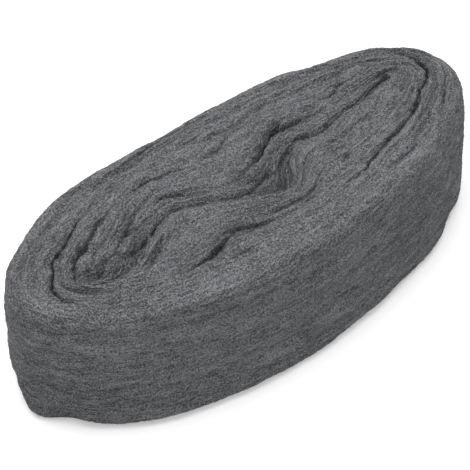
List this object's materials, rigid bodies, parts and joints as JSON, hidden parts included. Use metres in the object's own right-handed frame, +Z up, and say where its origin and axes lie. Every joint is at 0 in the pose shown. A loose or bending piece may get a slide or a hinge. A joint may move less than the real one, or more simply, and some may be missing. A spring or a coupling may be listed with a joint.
{
  "type": "steel wool bundle",
  "caption": "Long ribbon of steel wool wound on itself into a flat oval hank, with nested turns round a narrow folded hollow.",
  "frame": {"origin": "middle of the bundle's foot, on the surface that it stands on", "axes": "+X along the long way of the oval, +Y across it away from the viewer, +Z up, the ribbon's own width"},
  "size_m": [0.2626, 0.113, 0.0761],
  "materials": {
    "steel_wool": "matte mid grey fine steel fibres lying along the ribbon"
  },
  "bodies": {
    "root": {"wool_ribbon": "steel_wool"}
  },
  "joints": []
}
